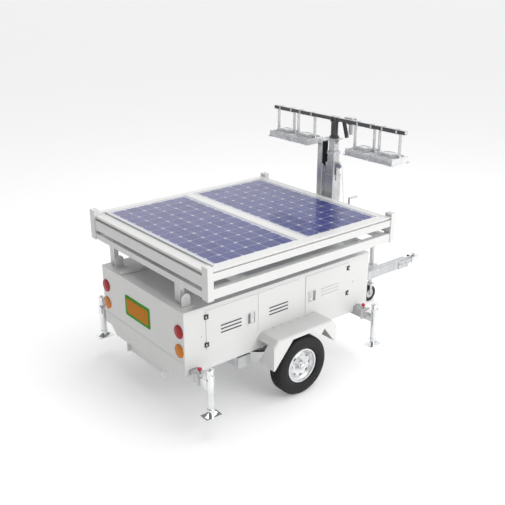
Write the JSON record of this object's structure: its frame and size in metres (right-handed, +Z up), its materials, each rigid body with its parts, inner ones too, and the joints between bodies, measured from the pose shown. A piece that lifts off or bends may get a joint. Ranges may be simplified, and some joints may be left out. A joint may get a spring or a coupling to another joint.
{
  "type": "solar lighting tower trailer",
  "caption": "Towable lighting tower: white cabinet under a tilting solar deck, telescopic mast with a lamp bar, fold-out stabiliser legs.",
  "frame": {"origin": "on the ground, below the middle of the whole trailer", "axes": "+X towards the coupling, +Y to the left, +Z up"},
  "size_m": [4.44, 2.215, 2.651],
  "materials": {
    "white_paint": "satin white powder coat over folded sheet steel",
    "galvanised": "hot-dip galvanised steel, dull grey with a soft spangle",
    "bright_steel": "bright zinc plated steel",
    "wheel_steel": "silver painted pressed steel",
    "tyre_rubber": "matt black tyre rubber",
    "black_rubber": "matt black rubber cable sheath",
    "black_metal": "black painted steel",
    "black_plastic": "moulded black plastic",
    "red_plastic": "red moulded plastic",
    "red_lens": "red moulded lens with fine ribs",
    "amber_lens": "amber moulded lens with fine ribs",
    "anodised": "clear anodised aluminium",
    "cast_aluminium": "pale grey powder-coated die-cast aluminium",
    "solar_cells": "toughened glass over blue-violet silicon cells, closed and opaque",
    "lamp_glass": "clear toughened lamp glass",
    "sign_print": "orange printed plate with a green border",
    "handle_grey": "grey moulded plastic"
  },
  "bodies": {
    "root": {"chassis_frame": "galvanised", "drawbar": "galvanised", "coupling_head": "bright_steel", "body_shell": "white_paint", "centre_panels": "white_paint", "door_hinges": "black_metal", "tail_lamps": "red_lens", "rear_apron": "white_paint", "power_pack": "black_plastic", "fenders": "white_paint", "axle_and_springs": "black_metal", "jockey_outer_tube": "galvanised", "tilt_lugs": "white_paint", "mast_outer": "galvanised", "mast_column": "galvanised", "coiled_cable": "black_rubber", "winch_frame": "galvanised", "winch_rope": "bright_steel"},
    "wheel_left": {"tyre_left": "tyre_rubber", "wheel_rim_left": "wheel_steel"},
    "wheel_right": {"tyre_right": "tyre_rubber", "wheel_rim_right": "wheel_steel"},
    "jockey_tube": {"jockey_inner_tube": "galvanised"},
    "jockey_fork": {"jockey_fork": "galvanised"},
    "jockey_wheel": {"jockey_wheel": "black_rubber"},
    "jockey_crank": {"jockey_crank": "black_plastic"},
    "mast_stage_2": {"mast_stage_2": "galvanised"},
    "mast_stage_3": {"mast_stage_3": "galvanised"},
    "mast_stage_4": {"mast_stage_4": "galvanised"},
    "lamp_head": {"light_bar": "galvanised", "lamp_brackets": "galvanised"},
    "floodlight_left_outer": {"floodlight_left_outer": "cast_aluminium"},
    "floodlight_left_inner": {"floodlight_left_inner": "cast_aluminium"},
    "floodlight_right_outer": {"floodlight_right_outer": "cast_aluminium"},
    "floodlight_right_inner": {"floodlight_right_inner": "cast_aluminium"},
    "winch_drum": {"winch_drum": "bright_steel"},
    "solar_array": {"array_frame": "white_paint", "module_frames": "anodised", "module_laminates": "solar_cells"},
    "door_rear_left": {"door_rear_left": "white_paint"},
    "paddle_rear_left": {"paddle_rear_left": "handle_grey"},
    "door_rear_right": {"door_rear_right": "white_paint"},
    "paddle_rear_right": {"paddle_rear_right": "handle_grey"},
    "door_front_left": {"door_front_left": "white_paint"},
    "paddle_front_left": {"paddle_front_left": "handle_grey"},
    "door_front_right": {"door_front_right": "white_paint"},
    "paddle_front_right": {"paddle_front_right": "handle_grey"},
    "outrigger_rear_left": {"outrigger_rear_left": "bright_steel"},
    "jack_leg_rear_left": {"jack_leg_rear_left": "bright_steel"},
    "pull_pin_rear_left": {"pull_pin_rear_left": "red_plastic"},
    "outrigger_rear_right": {"outrigger_rear_right": "bright_steel"},
    "jack_leg_rear_right": {"jack_leg_rear_right": "bright_steel"},
    "pull_pin_rear_right": {"pull_pin_rear_right": "red_plastic"},
    "outrigger_front_left": {"outrigger_front_left": "bright_steel"},
    "jack_leg_front_left": {"jack_leg_front_left": "bright_steel"},
    "pull_pin_front_left": {"pull_pin_front_left": "red_plastic"},
    "outrigger_front_right": {"outrigger_front_right": "bright_steel"},
    "jack_leg_front_right": {"jack_leg_front_right": "bright_steel"},
    "pull_pin_front_right": {"pull_pin_front_right": "red_plastic"},
    "coupling_lever": {"coupling_lever": "bright_steel"}
  },
  "joints": [
    {"name": "wheel_left_roll", "type": "hinge", "parent": "root", "child": "wheel_left", "pos_m": [-0.89, 0.943, 0.332], "axis": [0, 1, 0], "continuous": true},
    {"name": "wheel_right_roll", "type": "hinge", "parent": "root", "child": "wheel_right", "pos_m": [-0.89, -0.943, 0.332], "axis": [0, 1, 0], "continuous": true},
    {"name": "jockey_lift", "type": "slide", "parent": "root", "child": "jockey_tube", "axis": [0, 0, 1], "range_m": [0, 0.15]},
    {"name": "jockey_swivel", "type": "hinge", "parent": "jockey_tube", "child": "jockey_fork", "pos_m": [1.43, 0.14, 0.25], "axis": [0, 0, 1], "continuous": true},
    {"name": "jockey_roll", "type": "hinge", "parent": "jockey_fork", "child": "jockey_wheel", "pos_m": [1.405, 0.14, 0.11], "axis": [0, 1, 0], "continuous": true},
    {"name": "jockey_crank_turn", "type": "hinge", "parent": "root", "child": "jockey_crank", "pos_m": [1.43, 0.14, 0.78], "axis": [0, 0, 1], "range_deg": [0, 5400.5]},
    {"name": "mast_raise", "type": "slide", "parent": "root", "child": "mast_stage_2", "axis": [0, 0, 1], "range_m": [0, 1.1]},
    {"name": "mast_raise_3", "type": "slide", "parent": "mast_stage_2", "child": "mast_stage_3", "axis": [0, 0, 1], "range_m": [0, 1.1]},
    {"name": "mast_raise_4", "type": "slide", "parent": "mast_stage_3", "child": "mast_stage_4", "axis": [0, 0, 1], "range_m": [0, 1.1]},
    {"name": "lamp_head_turn", "type": "hinge", "parent": "mast_stage_4", "child": "lamp_head", "pos_m": [0.48, 0, 2.4], "axis": [0, 0, 1], "range_deg": [-170, 170]},
    {"name": "floodlight_left_outer_tilt", "type": "hinge", "parent": "lamp_head", "child": "floodlight_left_outer", "pos_m": [0.48, 0.83, 2.347], "axis": [0, 1, 0], "range_deg": [-60, 60]},
    {"name": "floodlight_left_inner_tilt", "type": "hinge", "parent": "lamp_head", "child": "floodlight_left_inner", "pos_m": [0.48, 0.47, 2.347], "axis": [0, 1, 0], "range_deg": [-60, 60]},
    {"name": "floodlight_right_outer_tilt", "type": "hinge", "parent": "lamp_head", "child": "floodlight_right_outer", "pos_m": [0.48, -0.83, 2.347], "axis": [0, 1, 0], "range_deg": [-60, 60]},
    {"name": "floodlight_right_inner_tilt", "type": "hinge", "parent": "lamp_head", "child": "floodlight_right_inner", "pos_m": [0.48, -0.47, 2.347], "axis": [0, 1, 0], "range_deg": [-60, 60]},
    {"name": "winch_turn", "type": "hinge", "parent": "root", "child": "winch_drum", "pos_m": [0.48, -0.185, 1.48], "axis": [1, 0, 0], "range_deg": [0, 1801]},
    {"name": "array_tilt", "type": "hinge", "parent": "root", "child": "solar_array", "pos_m": [-2.08, 0, 1.325], "axis": [0, -1, 0], "range_deg": [0, 30]},
    {"name": "door_rear_left_swing", "type": "hinge", "parent": "root", "child": "door_rear_left", "pos_m": [-1.9495, 0.79, 0.99], "axis": [0, 0, 1], "range_deg": [0, 110]},
    {"name": "paddle_rear_left_lift", "type": "hinge", "parent": "door_rear_left", "child": "paddle_rear_left", "pos_m": [-1.361, 0.7845, 0.958], "axis": [0, 0, -1], "range_deg": [0, 35], "stiffness_Nm_per_rad": 0.6},
    {"name": "door_rear_right_swing", "type": "hinge", "parent": "root", "child": "door_rear_right", "pos_m": [-1.9495, -0.79, 0.99], "axis": [0, 0, -1], "range_deg": [0, 110]},
    {"name": "paddle_rear_right_lift", "type": "hinge", "parent": "door_rear_right", "child": "paddle_rear_right", "pos_m": [-1.361, -0.7845, 0.958], "axis": [0, 0, 1], "range_deg": [0, 35], "stiffness_Nm_per_rad": 0.6},
    {"name": "door_front_left_swing", "type": "hinge", "parent": "root", "child": "door_front_left", "pos_m": [-0.0115, 0.79, 0.99], "axis": [0, 0, -1], "range_deg": [0, 110]},
    {"name": "paddle_front_left_lift", "type": "hinge", "parent": "door_front_left", "child": "paddle_front_left", "pos_m": [-0.592, 0.7845, 0.958], "axis": [0, 0, 1], "range_deg": [0, 35], "stiffness_Nm_per_rad": 0.6},
    {"name": "door_front_right_swing", "type": "hinge", "parent": "root", "child": "door_front_right", "pos_m": [-0.0115, -0.79, 0.99], "axis": [0, 0, 1], "range_deg": [0, 110]},
    {"name": "paddle_front_right_lift", "type": "hinge", "parent": "door_front_right", "child": "paddle_front_right", "pos_m": [-0.592, -0.7845, 0.958], "axis": [0, 0, -1], "range_deg": [0, 35], "stiffness_Nm_per_rad": 0.6},
    {"name": "outrigger_rear_left_extend", "type": "slide", "parent": "root", "child": "outrigger_rear_left", "axis": [0, 1, 0], "range_m": [0, 0.45]},
    {"name": "jack_leg_rear_left_drop", "type": "slide", "parent": "outrigger_rear_left", "child": "jack_leg_rear_left", "axis": [0, 0, -1], "range_m": [0, 0.24]},
    {"name": "pull_pin_rear_left_pull", "type": "slide", "parent": "root", "child": "pull_pin_rear_left", "axis": [0, 0, 1], "range_m": [0, 0.012], "stiffness_N_per_m": 400},
    {"name": "outrigger_rear_right_extend", "type": "slide", "parent": "root", "child": "outrigger_rear_right", "axis": [0, -1, 0], "range_m": [0, 0.45]},
    {"name": "jack_leg_rear_right_drop", "type": "slide", "parent": "outrigger_rear_right", "child": "jack_leg_rear_right", "axis": [0, 0, -1], "range_m": [0, 0.24]},
    {"name": "pull_pin_rear_right_pull", "type": "slide", "parent": "root", "child": "pull_pin_rear_right", "axis": [0, 0, 1], "range_m": [0, 0.012], "stiffness_N_per_m": 400},
    {"name": "outrigger_front_left_extend", "type": "slide", "parent": "root", "child": "outrigger_front_left", "axis": [0, 1, 0], "range_m": [0, 0.45]},
    {"name": "jack_leg_front_left_drop", "type": "slide", "parent": "outrigger_front_left", "child": "jack_leg_front_left", "axis": [0, 0, -1], "range_m": [0, 0.24]},
    {"name": "pull_pin_front_left_pull", "type": "slide", "parent": "root", "child": "pull_pin_front_left", "axis": [0, 0, 1], "range_m": [0, 0.012], "stiffness_N_per_m": 400},
    {"name": "outrigger_front_right_extend", "type": "slide", "parent": "root", "child": "outrigger_front_right", "axis": [0, -1, 0], "range_m": [0, 0.45]},
    {"name": "jack_leg_front_right_drop", "type": "slide", "parent": "outrigger_front_right", "child": "jack_leg_front_right", "axis": [0, 0, -1], "range_m": [0, 0.24]},
    {"name": "pull_pin_front_right_pull", "type": "slide", "parent": "root", "child": "pull_pin_front_right", "axis": [0, 0, 1], "range_m": [0, 0.012], "stiffness_N_per_m": 400},
    {"name": "coupling_lever_lift", "type": "hinge", "parent": "root", "child": "coupling_lever", "pos_m": [2.134, 0, 0.542], "axis": [0, 1, 0], "range_deg": [0, 50], "stiffness_Nm_per_rad": 1.5}
  ],
  "couplings": [
    {"joint": "mast_raise_3", "follows": "mast_raise", "ratio": 1},
    {"joint": "mast_raise_4", "follows": "mast_raise", "ratio": 1},
    {"joint": "winch_turn", "follows": "mast_raise", "rad_per_m": 28.57},
    {"joint": "jockey_crank_turn", "follows": "jockey_lift", "rad_per_m": 628.3}
  ]
}
